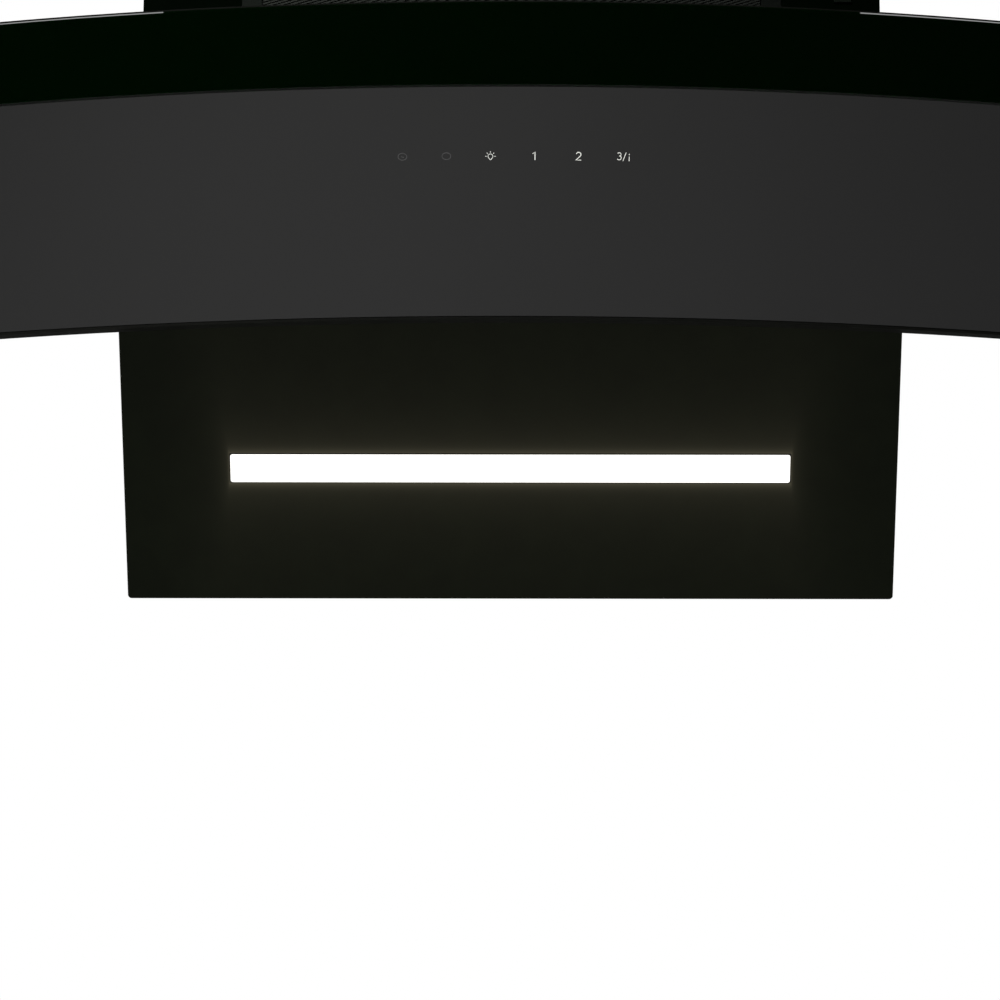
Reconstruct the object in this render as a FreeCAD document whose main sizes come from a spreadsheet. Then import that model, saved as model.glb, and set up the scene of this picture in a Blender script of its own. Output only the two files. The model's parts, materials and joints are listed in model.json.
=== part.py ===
"""Angled wall hood with a curved glass visor, as an assembly of separate pieces.

Millimetres. +Z is up, the wall is the plane Y = 0 and the room is on the -Y side.
The origin is the middle of the wall fixing holes, on the wall and on the plane of symmetry.
"""
import FreeCAD
import Part
import Sketcher
import math
import os
import re

# Driving sizes. Heights named _low are measured up from the lower edge of the lamp panel.
SIZES = {
    # column on the wall
    "column_width": 600,
    "column_depth": 223,
    "drop": 400,
    "rise": 280,
    "skin": 1.5,
    "post_width": 80,
    "bottom_low": 60,
    "floor_low": 318,
    "shelf_step": 1,
    "wall_pitch_across": 500,
    "wall_pitch_up": 240,
    "wall_hole_radius": 4.5,
    # leaning lamp panel and the light in it
    "lamp_reach": 235,
    "lean": 33,
    "lamp_slope": 260,
    "panel_thick": 2,
    "panel_corner": 3,
    "window_corner": 1.6,
    "window_width": 435.7,
    "window_height": 25.2,
    "window_along": 95.9,
    "window_gap": 0.6,
    "diffuser_inset": 0.2,
    "diffuser_lap": 5,
    "diffuser_flange": 2,
    "channel_lap": 9,
    "channel_deep": 16,
    "channel_wall": 1.5,
    "board_thick": 1.6,
    "board_gap": 0.5,
    "driver_length": 180,
    "driver_depth": 40,
    "driver_height": 24,
    "driver_setback": 80,
    # curved glass visor
    "visor_width": 899,
    "arc_radius": 1570,
    "touch_gap": 31.4,
    "touch_low": 182.7,
    "touch_rise": 149.3,
    "glass_thick": 6,
    "fascia_step": 7.75,
    "fascia_low": 330.5,
    "fascia_tall": 65.8,
    "bevel_deep": 5.4,
    "bevel_drop": 3.2,
    "bond_gap": 0.5,
    "frame_sheet": 1.5,
    "lip_thick": 2,
    "lip_gap": 0.5,
    "lip_over": 1,
    "seam_gap": 1,
    "head_rise": 1.3,
    "head_return": 12,
    "end_thick": 1.5,
    "end_gap": 0.3,
    "end_clear": 1.2,
    "end_deep": 14,
    # hinge of the visor
    "hinge_along": 233,
    "hinge_proud": 9,
    "hinge_pin_radius": 3.5,
    "run_gap": 0.05,
    "eye_radius": 6.5,
    "lug_inset": 38,
    "lug_thick": 3,
    "web_tall": 40,
    "ear_step": 3,
    "ear_thick": 3,
    "ear_radius": 5.5,
    "foot_thick": 2,
    "foot_length": 24,
    "foot_below": 7,
    "foot_above": 23,
    "pin_head": 2,
    # touch keys behind the glass
    "mark_along": 371,
    "mark_pitch": 33,
    "key_count": 6,
    "key_margin": 14,
    "key_height": 28,
    "cover_margin": 30,
    "cover_height": 42,
    "cover_deep": 14,
    "cover_wall": 2,
    "cover_boss": 4,
    "boss_radius": 3,
    "boss_inset": 6,
    "spring_radius": 2.5,
    # grease filter
    "filter_low": 330,
    "filter_height": 290,
    "filter_depth": 9,
    "filter_border": 16,
    "filter_side_gap": 0.5,
    "sill_gap": 3,
    "header_gap": 2,
    "mesh_thick": 2,
    "mesh_pitch": 20,
    "mesh_hole": 14,
    "pivot_up": 7,
    "pivot_radius": 2.5,
    "pivot_block": 12,
    "pivot_half": 8,
    "pivot_gap": 2,
    "stop_reach": 14,
    "stop_depth": 10,
    "stop_tall": 16,
    "stop_below_top": 20,
    "handle_width": 90,
    "handle_drop": 25,
    "handle_wire": 2,
    "handle_stand": 4,
    "pad_width": 10,
    "pad_height": 12,
    "pad_depth": 7,
    "catch_width": 13.8,
    "catch_across": 269.7,
    "catch_low": 497.6,
    "catch_tall": 42,
    "catch_thick": 2,
    "tray_width": 430,
    "tray_depth": 56,
    "tray_height": 15,
    "tray_wall": 1,
    "tray_setback": 16,
    # blower
    "fan_back": 112,
    "fan_up": 125,
    "wheel_radius": 72,
    "wheel_inner": 60,
    "wheel_half": 64,
    "blade_count": 24,
    "blade_thick": 1.6,
    "blade_sweep": 6,
    "disc_thick": 2,
    "disc_radius": 70,
    "rim_thick": 2,
    "rim_margin": 1,
    "hub_radius": 12,
    "hub_half": 9,
    "shaft_radius": 4,
    "shaft_depth": 36,
    "motor_radius": 42,
    "motor_gap": 5,
    "scroll_radius": 88,
    "scroll_shift": 8,
    "scroll_half": 75,
    "scroll_wall": 1,
    "inlet_radius": 55,
    "throat": 50,
    "flange_wide": 16,
    "flange_thick": 3,
    "star_radius": 24,
    "star_bore": 6,
    "star_thick": 2.5,
    "arm_width": 14,
    "arm_reach": 71,
    "arm_count": 3,
    "arm_hole": 65,
    # outlet and damper
    "collar_radius": 75,
    "collar_wall": 1.5,
    "collar_tall": 55,
    "collar_flange": 94,
    "collar_lap": 5,
    "damper_up": 20,
    "socket_skin": 0.6,
    "damper_rod_radius": 2,
    "flap_gap": 2.5,
    "flap_thick": 1,
    "knuckle_radius": 3.5,
    "knuckle_length": 40,
    "knuckle_inset": 14,
    "flap_clear": 0.5,
    # chimney cover
    "chimney_width": 300,
    "chimney_depth": 205,
    "chimney_tall": 300,
    "chimney_wall": 1.2,
    "chimney_gap": 0.8,
    "chimney_back": 2,
    "chimney_foot": 16,
    "foot_run": 60,
    "upper_lift": 20,
    "upper_proud": 5,
    "bar_tall": 20,
    "bar_depth": 12,
    # electrics
    "box_length": 220,
    "box_depth": 60,
    "box_height": 130,
    "box_low": 70,
    "box_wall": 2,
    "box_boss": 4,
    "terminal_length": 50,
    "terminal_depth": 20,
    "terminal_height": 22,
    "terminal_gap": 20,
    "gland_across": 220,
    "gland_back": 60,
    "gland_radius": 8,
    "gland_flange": 12,
    "gland_tall": 8,
    "gland_nut": 5,
    "gland_bore": 4.5,
    "gland_gap": 0.2,
    # screws
    "screw_radius": 2,
    "screw_hole": 2.15,
    "screw_head": 3.8,
    "head_tall": 2.2,
    "screw_tail": 3,
}

# Places that follow from the sizes, spelled out wherever they are used.
PLACES = {
    "inner_half": "column_width / 2 - skin",
    "front_inner": "-column_depth + skin",
    "lamp_back_y": "-lamp_reach + panel_thick * cos(lean)",
    "lamp_back_z": "-drop + panel_thick * sin(lean)",
    "bottom_z": "-drop + bottom_low",
    "bottom_front": "lamp_back_y - (bottom_z - lamp_back_z) * tan(lean)",
    "shelf_top": "-drop + lamp_slope * cos(lean) - shelf_step",
    "opening_half": "column_width / 2 - post_width",
    "filter_half": "opening_half - filter_side_gap",
    "filter_bottom": "-drop + filter_low",
    "filter_top": "filter_bottom + filter_height",
    "filter_back": "-column_depth + filter_depth",
    "pivot_y": "-column_depth + filter_depth / 2",
    "pivot_z": "filter_bottom + pivot_up",
    "floor_top": "-drop + floor_low + skin",
    "glass_flat": "glass_thick / cos(lean)",
    "sheet_flat": "frame_sheet / cos(lean)",
    "lug_inside": "column_width / 2 - lug_inset",
    "lug_middle": "lug_inside + lug_thick / 2",
    "lug_sag": "arc_radius - sqrt(arc_radius * arc_radius - lug_middle * lug_middle)",
    "touch_reach": "(lamp_reach + touch_low * tan(lean) + lug_sag + touch_gap)",
    "touch_bottom": "-drop + touch_low",
    "touch_top": "touch_bottom + touch_rise",
    "fascia_bottom": "-drop + fascia_low",
    "fascia_top": "fascia_bottom + fascia_tall",
    "lip_top": "touch_bottom - lip_gap",
    "lip_bottom": "lip_top - lip_thick",
    "lip_depth": "glass_flat + bond_gap + sheet_flat + lip_over",
    "sheet_offset": "glass_flat + bond_gap",
    "flange_bottom": "touch_top + seam_gap",
    "fascia_front": "-touch_reach - touch_rise * tan(lean) - fascia_step",
    "head_front": "fascia_front + glass_thick + bond_gap",
    "head_top": "fascia_top + head_rise",
    "frame_half": "visor_width / 2 - end_thick - end_gap",
    "end_inside": "visor_width / 2 - end_thick",
    "end_sag": "arc_radius - sqrt(arc_radius * arc_radius - visor_width * visor_width / 4)",
    "end_front": "-touch_reach + end_sag + glass_flat + end_clear",
    "hinge_y": "-lamp_reach - hinge_along * sin(lean) - hinge_proud * cos(lean)",
    "hinge_z": "-drop + hinge_along * cos(lean) - hinge_proud * sin(lean)",
    "lug_sheet": "-touch_reach + lug_sag + sheet_offset + sheet_flat / 2",
    "ear_inside": "lug_inside + lug_thick + ear_step",
    "glass_proud": "cos(lean) * (touch_reach - lamp_reach) - sin(lean) * touch_low",
    "sheet_back": "glass_proud - glass_thick - bond_gap * cos(lean) - frame_sheet",
    "mark_half": "(key_count - 1) / 2 * mark_pitch",
    "key_half": "mark_half + key_margin",
    "cover_half": "mark_half + cover_margin",
    "cover_sag": "arc_radius - sqrt(arc_radius * arc_radius - cover_half * cover_half)",
    "cover_rim": "sheet_back - cos(lean) * cover_sag - end_gap",
    "cover_floor": "cover_rim - cover_deep",
    "board_back": "cover_floor + cover_wall + cover_boss",
    "mark_z": "-drop + mark_along * cos(lean) - sheet_back * sin(lean)",
    "fan_y": "-fan_back",
    "scroll_y": "-fan_back + scroll_shift",
    "duct_front": "-fan_back - throat",
    "duct_back": "scroll_y + scroll_radius",
    "outlet_y": "(duct_front + duct_back) / 2",
    "deck": "rise - skin",
    "scroll_outside": "scroll_half + scroll_wall",
    "flange_screw": "scroll_outside + flange_wide / 2",
    "motor_front": "hub_half + motor_gap",
    "collar_inner": "collar_radius - collar_wall",
    "damper_z": "rise + damper_up",
    "flap_radius": "collar_inner - flap_gap",
    "chimney_half": "chimney_width / 2",
    "upper_half": "chimney_half - chimney_wall - chimney_gap",
    "upper_front": "-chimney_depth + chimney_wall + chimney_gap",
    "foot_outside": "chimney_half - chimney_wall",
    "foot_middle": "foot_outside - chimney_foot / 2",
    "box_bottom": "-drop + box_low",
    "board_y": "skin + box_wall + box_boss",
}

X_AXIS = FreeCAD.Vector(1, 0, 0)
Y_AXIS = FreeCAD.Vector(0, 1, 0)
Z_AXIS = FreeCAD.Vector(0, 0, 1)
WORD = re.compile(r"[A-Za-z_]+")

doc = FreeCAD.newDocument("AngledHood")
sheet = doc.addObject("Spreadsheet::Sheet", "Sizes")
for row, (size_name, size) in enumerate(SIZES.items(), start=1):
    sheet.set("A%d" % row, size_name)
    sheet.set("B%d" % row, str(size))
    sheet.setAlias("B%d" % row, size_name)
doc.recompute()

nodes = []


def bound(text):
    """Expression in which each place is spelled out and each size points at its cell."""
    def spell(match):
        word = match.group(0)
        if word in PLACES:
            return "(" + bound(PLACES[word]) + ")"
        if word in SIZES:
            return "Sizes." + word
        return word
    return WORD.sub(spell, text)


def value(text):
    """Number that an expression has now."""
    return float(sheet.evalExpression(bound(text)))


def opposite(text):
    return "-(" + text + ")"


def bind(thing, prop, text):
    thing.setExpression(prop, bound(text))


def keep(thing, label):
    """Make an object of the document one of the pieces that are written out."""
    thing.Label = label
    nodes.append(thing)
    return thing


def put(thing, x="0", y="0", z="0", axis=None, angle="0"):
    """Place an object at a point, turned about an axis."""
    spin = FreeCAD.Rotation() if axis is None else FreeCAD.Rotation(axis, value(angle))
    thing.Placement = FreeCAD.Placement(FreeCAD.Vector(value(x), value(y), value(z)), spin)
    for letter, text in zip("xyz", (x, y, z)):
        bind(thing, "Placement.Base." + letter, text)
    if axis is not None:
        bind(thing, "Placement.Rotation.Angle", angle)
    return thing


def on_slope(thing):
    """Place an object so that its Y runs up the lamp panel and its Z points out of it."""
    return put(thing, y="-lamp_reach", z="-drop", axis=X_AXIS, angle="90 + lean")


def new_body(label):
    return keep(doc.addObject("PartDesign::Body", label), label)


def new_sketch(body, plane, offset):
    sketch = body.newObject("Sketcher::SketchObject", body.Name + "Sketch")
    support = [item for item in body.Origin.OriginFeatures if item.Role == plane][0]
    sketch.AttachmentSupport = (support, [""])
    sketch.MapMode = "FlatFace"
    bind(sketch, "AttachmentOffset.Base.z", offset)
    return sketch


def dimension(sketch, constraint, text):
    index = sketch.addConstraint(constraint)
    bind(sketch, "Constraints[%d]" % index, text)


def fix_point(sketch, geometry, point, across, up):
    for kind, text in (("DistanceX", across), ("DistanceY", up)):
        dimension(sketch, Sketcher.Constraint(kind, -1, 1, geometry, point, value(text)), text)


def draw_loop(sketch, corners):
    """Closed outline through corners that are given as pairs of expressions."""
    points = [FreeCAD.Vector(value(across), value(up), 0) for across, up in corners]
    first = sketch.GeometryCount
    count = len(points)
    for index in range(count):
        sketch.addGeometry(Part.LineSegment(points[index], points[(index + 1) % count]))
    for index in range(count):
        following = first + (index + 1) % count
        sketch.addConstraint(Sketcher.Constraint("Coincident", first + index, 2, following, 1))
    for index, (across, up) in enumerate(corners):
        fix_point(sketch, first + index, 1, across, up)


def draw_circle(sketch, across, up, radius):
    centre = FreeCAD.Vector(value(across), value(up), 0)
    circle = sketch.addGeometry(Part.Circle(centre, Z_AXIS, value(radius)))
    fix_point(sketch, circle, 3, across, up)
    dimension(sketch, Sketcher.Constraint("Radius", circle, value(radius)), radius)


def draw_bow(sketch, front, deep, half):
    """Plan strip bowed towards the room: front at X = 0, depth behind it and half width."""
    middle = front + " + arc_radius"
    centre = FreeCAD.Vector(0, value(middle), 0)
    arcs = []
    for radius in ("arc_radius", "arc_radius - (" + deep + ")"):
        swing = math.asin(value(half) / value(radius))
        circle = Part.Circle(centre, Z_AXIS, value(radius))
        arc = sketch.addGeometry(Part.ArcOfCircle(circle, -math.pi / 2 - swing, -math.pi / 2 + swing))
        fix_point(sketch, arc, 3, "0", middle)
        dimension(sketch, Sketcher.Constraint("Radius", arc, value(radius)), radius)
        for point, text in ((1, opposite(half)), (2, half)):
            dimension(sketch, Sketcher.Constraint("DistanceX", -1, 1, arc, point, value(text)), text)
        arcs.append(arc)
    doc.recompute()
    for point in (1, 2):
        ends = [sketch.getPoint(arc, point) for arc in arcs]
        line = sketch.addGeometry(Part.LineSegment(*ends))
        sketch.addConstraint(Sketcher.Constraint("Coincident", arcs[0], point, line, 1))
        sketch.addConstraint(Sketcher.Constraint("Coincident", arcs[1], point, line, 2))


def pad(body, sketch, length, leaning=False):
    feature = body.newObject("PartDesign::Pad", body.Name + "Pad")
    feature.Profile = sketch
    bind(feature, "Length", length)
    if leaning:
        feature.UseCustomVector = True
        feature.Direction = FreeCAD.Vector(0, -value("sin(lean)"), value("cos(lean)"))
        feature.AlongSketchNormal = True
        bind(feature, "Direction.y", "-sin(lean)")
        bind(feature, "Direction.z", "cos(lean)")
    doc.recompute()
    return feature


def drill(body, sketch, length=None):
    """Cut a sketch both ways, through the whole body or over a length."""
    before = body.Shape.Volume
    feature = body.newObject("PartDesign::Pocket", body.Name + "Pocket")
    feature.Profile = sketch
    feature.Midplane = True
    if length is None:
        feature.Type = "ThroughAll"
    else:
        bind(feature, "Length", length)
    doc.recompute()
    if body.Shape.Volume >= before:
        raise RuntimeError("nothing was cut from " + body.Label)


def add_prism(body, plane, start, length, loops=(), circles=()):
    sketch = new_sketch(body, plane, start)
    for corners in loops:
        draw_loop(sketch, corners)
    for circle in circles:
        draw_circle(sketch, *circle)
    return pad(body, sketch, length)


def prism(label, plane, start, length, loops=(), circles=()):
    """Piece of one thickness, with windows and round holes in it."""
    body = new_body(label)
    add_prism(body, plane, start, length, loops, circles)
    return body


def add_bow(body, start, length, front, deep, half, leaning=False):
    sketch = new_sketch(body, "XY_Plane", start)
    draw_bow(sketch, front, deep, half)
    return pad(body, sketch, length, leaning)


def polar_copies(body, feature, count):
    """Repeat a feature round the body's own X axis."""
    pattern = body.newObject("PartDesign::PolarPattern", body.Name + "Polar")
    pattern.Originals = [feature]
    axis = [item for item in body.Origin.OriginFeatures if item.Role == "X_Axis"][0]
    pattern.Axis = (axis, [""])
    pattern.Angle = 360
    bind(pattern, "Occurrences", count)
    body.Tip = pattern
    doc.recompute()


def rectangle(left, low, right, high):
    return [(left, low), (right, low), (right, high), (left, high)]


def centred(half, low, high):
    return rectangle(opposite(half), low, half, high)


def span(side, inside, thick):
    """Start along X of a piece on the right (1) or its mirror image on the left (-1)."""
    return inside if side > 0 else opposite(inside + " + " + thick)


def mirrored(side, text):
    return text if side > 0 else opposite(text)


def block(name, x, y, z, length, depth, height):
    """Plain box between x, y, z and those plus its sizes."""
    thing = doc.addObject("Part::Box", name)
    for prop, text in (("Length", length), ("Width", depth), ("Height", height)):
        bind(thing, prop, text)
    return put(thing, x, y, z)


TURNS = {"x": (Y_AXIS, "90"), "y": (X_AXIS, "-90"), "z": (None, "0")}


def cylinder(name, direction, x, y, z, radius, length):
    """Round bar that starts at a point and runs along +X, +Y or +Z."""
    thing = doc.addObject("Part::Cylinder", name)
    bind(thing, "Radius", radius)
    bind(thing, "Height", length)
    axis, angle = TURNS[direction]
    return put(thing, x, y, z, axis, angle)


def fuse(name, shapes):
    thing = doc.addObject("Part::MultiFuse", name)
    thing.Shapes = shapes
    return thing


def cut(name, base, tool):
    thing = doc.addObject("Part::Cut", name)
    thing.Base = base
    thing.Tool = tool
    return thing


def group(label, members):
    """One node made of several separate solids."""
    thing = doc.addObject("Part::Compound", label)
    thing.Links = members
    return keep(thing, label)


def screw(name, direction, point, length, flip=False):
    """Screw whose head seats at a point; it runs along +axis, or along -axis when flipped."""
    x, y, z = point
    along = {"x": 0, "y": 1, "z": 2}[direction]
    shank_start = [x, y, z]
    head_start = [x, y, z]
    if flip:
        shank_start[along] += " - (" + length + ")"
    else:
        head_start[along] += " - head_tall"
    shank = cylinder(name + "Shank", direction, *shank_start, "screw_radius", length)
    head = cylinder(name + "Head", direction, *head_start, "screw_head", "head_tall")
    return fuse(name, [head, shank])


SIDES = (("left", -1), ("right", 1))


def build_column():
    """Sheet metal column, the leaning lamp panel and the shelf over it."""
    wall_holes = []
    for across in ("wall_pitch_across / 2", "-wall_pitch_across / 2"):
        for up in ("wall_pitch_up / 2", "-wall_pitch_up / 2"):
            wall_holes.append((across, up, "wall_hole_radius"))
    back = centred("column_width / 2", "bottom_z", "rise")
    prism("back_panel", "XZ_Plane", "0", "skin", [back], wall_holes)

    shelf_front = "lamp_back_y - (shelf_top - lamp_back_z) * tan(lean)"
    outline = [
        ("-skin", "bottom_z"),
        ("bottom_front", "bottom_z"),
        (shelf_front, "shelf_top"),
        ("front_inner", "shelf_top"),
        ("front_inner", "rise"),
        ("-skin", "rise"),
    ]
    for name, side in SIDES:
        prism("side_plate_" + name, "YZ_Plane", span(side, "inner_half", "skin"), "skin", [outline])
        outer = mirrored(side, "column_width / 2")
        inner = mirrored(side, "opening_half")
        left, right = (inner, outer) if side > 0 else (outer, inner)
        front = rectangle(left, "shelf_top", right, "rise")
        prism("post_" + name, "XZ_Plane", "column_depth - skin", "skin", [front])

    floor = centred("inner_half", "front_inner", "-skin")
    bottom = centred("inner_half", "bottom_front", "-skin")
    prism("bottom_plate", "XY_Plane", "bottom_z", "skin", [bottom])
    prism("chamber_floor", "XY_Plane", "-drop + floor_low", "skin", [floor])
    shelf_edge = "lamp_back_y - (shelf_top - skin - lamp_back_z) * tan(lean)"
    shelf = centred("inner_half", shelf_edge, "front_inner")
    prism("shelf_plate", "XY_Plane", "shelf_top - skin", "skin", [shelf])

    deck_holes = [("0", "outlet_y", "collar_inner - collar_lap")]
    deck_holes.append(("gland_across", "-gland_back", "gland_radius + gland_gap"))
    deck_holes += [(x, y, "screw_hole") for x, y in collar_screw_places() + foot_screw_places()]
    prism("top_plate", "XY_Plane", "deck", "skin", [floor], deck_holes)

    sill = centred("opening_half", "shelf_top", "filter_bottom - sill_gap")
    prism("sill_plate", "XZ_Plane", "column_depth - skin", "skin", [sill])
    header = centred("opening_half", "filter_top + header_gap", "rise")
    prism("header_plate", "XZ_Plane", "column_depth - skin", "skin", [header])

    catch_left = "catch_across - catch_width / 2"
    catch_bottom = "-drop + catch_low"
    catch = rectangle(catch_left, catch_bottom, catch_left + " + catch_width",
                      catch_bottom + " + catch_tall")
    prism("catch_plate", "XZ_Plane", "column_depth", "catch_thick", [catch])


def collar_screw_places():
    """Screws that clamp the collar, the top plate and the flanges of the scroll."""
    places = []
    for side in (1, -1):
        for end in ("outlet_y - collar_radius + flange_wide", "outlet_y + collar_radius - flange_wide"):
            places.append((mirrored(side, "flange_screw"), end))
    return places


def foot_screw_places():
    """Screws that hold the feet of the chimney cover to the top plate."""
    places = []
    for side in (1, -1):
        for end in ("-chimney_depth / 2 - foot_run / 4", "-chimney_depth / 2 + foot_run / 4"):
            places.append((mirrored(side, "foot_middle"), end))
    return places


def bracket_screw_places():
    """Screws of the visor brackets, as places across and up the lamp panel."""
    across = "ear_inside + ear_thick + foot_length / 2"
    places = []
    for side in (1, -1):
        for along in ("hinge_along", "hinge_along + foot_above - foot_below"):
            places.append((mirrored(side, across), along))
    return places


def round_corners(body, feature, half, along, radius):
    """Round the two upright edges that stand at plus and minus half, that far along Y."""
    corners = []
    for index, edge in enumerate(feature.Shape.Edges, start=1):
        ends = [vertex.Point for vertex in edge.Vertexes]
        upright = len(ends) == 2 and abs(ends[0].z - ends[1].z) > value("run_gap")
        across = all(abs(abs(end.x) - value(half)) < value("run_gap") for end in ends)
        level = all(abs(end.y - value(along)) < value("run_gap") for end in ends)
        if upright and across and level:
            corners.append("Edge%d" % index)
    rounding = body.newObject("PartDesign::Fillet", body.Name + "Rounding")
    rounding.Base = (feature, corners)
    bind(rounding, "Radius", radius)
    doc.recompute()
    return rounding


def build_lamp():
    """Lamp panel with its light, all set on the slope."""
    panel = new_body("lamp_panel")
    face = centred("column_width / 2", "0", "lamp_slope")
    window = centred("window_width / 2", "window_along", "window_along + window_height")
    holes = [(x, y, "screw_hole") for x, y in bracket_screw_places()]
    plate = add_prism(panel, "XY_Plane", "-panel_thick", "panel_thick", [face, window], holes)
    plate = round_corners(panel, plate, "column_width / 2", "0", "panel_corner")
    for along in ("window_along", "window_along + window_height"):
        plate = round_corners(panel, plate, "window_width / 2", along, "window_corner")
    on_slope(panel)

    diffuser = new_body("led_diffuser")
    lens = centred("window_width / 2 - window_gap", "window_along + window_gap",
                   "window_along + window_height - window_gap")
    rim = centred("window_width / 2 + diffuser_lap", "window_along - diffuser_lap",
                  "window_along + window_height + diffuser_lap")
    add_prism(diffuser, "XY_Plane", "-panel_thick - diffuser_flange", "diffuser_flange", [rim])
    raised = add_prism(diffuser, "XY_Plane", "-panel_thick", "panel_thick - diffuser_inset", [lens])
    for along in ("window_along + window_gap", "window_along + window_height - window_gap"):
        raised = round_corners(diffuser, raised, "window_width / 2 - window_gap", along,
                               "window_corner - window_gap")
    on_slope(diffuser)

    channel = new_body("led_channel")
    depth = "-panel_thick - channel_deep"
    outside = centred("window_width / 2 + channel_lap", "window_along - channel_lap",
                      "window_along + window_height + channel_lap")
    inside = centred("window_width / 2 + channel_lap - channel_wall",
                     "window_along - channel_lap + channel_wall",
                     "window_along + window_height + channel_lap - channel_wall")
    add_prism(channel, "XY_Plane", depth, "channel_wall", [outside])
    add_prism(channel, "XY_Plane", depth + " + channel_wall", "channel_deep - channel_wall",
              [outside, inside])
    on_slope(channel)

    strip = centred("window_width / 2 + channel_lap - channel_wall - board_gap",
                    "window_along - channel_lap + channel_wall + board_gap",
                    "window_along + window_height + channel_lap - channel_wall - board_gap")
    on_slope(prism("led_board", "XY_Plane", depth + " + channel_wall", "board_thick", [strip]))

    driver = block("led_driver", "-driver_length / 2", "-driver_setback - driver_depth",
                   "bottom_z + skin", "driver_length", "driver_depth", "driver_height")
    keep(driver, "led_driver")


def build_visor():
    """Two curved glasses on a formed steel frame that swings on two lugs."""
    touch = new_body("touch_glass")
    add_bow(touch, "touch_bottom", "touch_rise", "-touch_reach", "glass_flat", "visor_width / 2",
            leaning=True)

    fascia = new_body("fascia_glass")
    plain = add_bow(fascia, "fascia_bottom", "fascia_tall", "fascia_front", "glass_thick",
                    "visor_width / 2")
    bevelled = []
    for index, edge in enumerate(plain.Shape.Edges, start=1):
        arc = isinstance(edge.Curve, Part.Circle)
        if arc and abs(edge.Curve.Radius - value("arc_radius")) < value("run_gap"):
            if edge.CenterOfMass.z > value("fascia_bottom + fascia_tall / 2"):
                bevelled.append("Edge%d" % index)
    bevel = fascia.newObject("PartDesign::Chamfer", "FasciaBevel")
    bevel.Base = (plain, bevelled)
    bevel.ChamferType = "Two distances"
    bind(bevel, "Size", "bevel_drop")
    bind(bevel, "Size2", "bevel_deep")

    frame = new_body("visor_frame")
    add_bow(frame, "lip_bottom", "lip_thick", "-touch_reach", "lip_depth", "frame_half")
    add_bow(frame, "lip_top", "flange_bottom - lip_top",
            "-touch_reach + lip_gap * tan(lean) + sheet_offset", "sheet_flat", "frame_half",
            leaning=True)
    sheet_end = "-touch_reach - (flange_bottom - touch_bottom) * tan(lean) + sheet_offset + sheet_flat"
    ledge = sheet_end + " + lip_over - head_front"
    add_bow(frame, "flange_bottom", "frame_sheet", "head_front", ledge, "frame_half")
    add_bow(frame, "flange_bottom + frame_sheet", "head_top - flange_bottom - 2 * frame_sheet",
            "head_front",
            "frame_sheet", "frame_half")
    add_bow(frame, "head_top - frame_sheet", "frame_sheet", "head_front", "head_return", "frame_half")
    web = [
        ("hinge_y", "hinge_z"),
        ("lug_sheet - (hinge_z - touch_bottom) * tan(lean)", "hinge_z"),
        ("lug_sheet - (hinge_z + web_tall - touch_bottom) * tan(lean)", "hinge_z + web_tall"),
        ("hinge_y - web_tall * tan(lean)", "hinge_z + web_tall"),
    ]
    for name, side in SIDES:
        start = span(side, "lug_inside", "lug_thick")
        add_prism(frame, "YZ_Plane", start, "lug_thick", [web])
        add_prism(frame, "YZ_Plane", start, "lug_thick", [], [("hinge_y", "hinge_z", "eye_radius")])
        bore = new_sketch(frame, "YZ_Plane", mirrored(side, "lug_middle"))
        draw_circle(bore, "hinge_y", "hinge_z", "hinge_pin_radius + run_gap")
        drill(frame, bore, "lug_thick")
    window = new_sketch(frame, "XZ_Plane", "0")
    key_rise = "key_height / 2 * cos(lean)"
    draw_loop(window, centred("key_half", "mark_z - " + key_rise, "mark_z + " + key_rise))
    drill(frame, window)

    head = "fascia_front + end_sag + glass_thick + end_clear"
    low = "end_front - (lip_bottom - touch_bottom) * tan(lean)"
    high = "end_front - (flange_bottom - touch_bottom) * tan(lean)"
    cap = [
        (low, "lip_bottom"),
        (high, "flange_bottom"),
        (head, "flange_bottom"),
        (head, "head_top"),
        (head + " + head_return", "head_top"),
        (high + " + end_deep", "flange_bottom"),
        (low + " + end_deep", "lip_bottom"),
    ]
    for name, side in SIDES:
        prism("visor_end_" + name, "YZ_Plane", span(side, "end_inside", "end_thick"), "end_thick",
              [cap])


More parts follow.
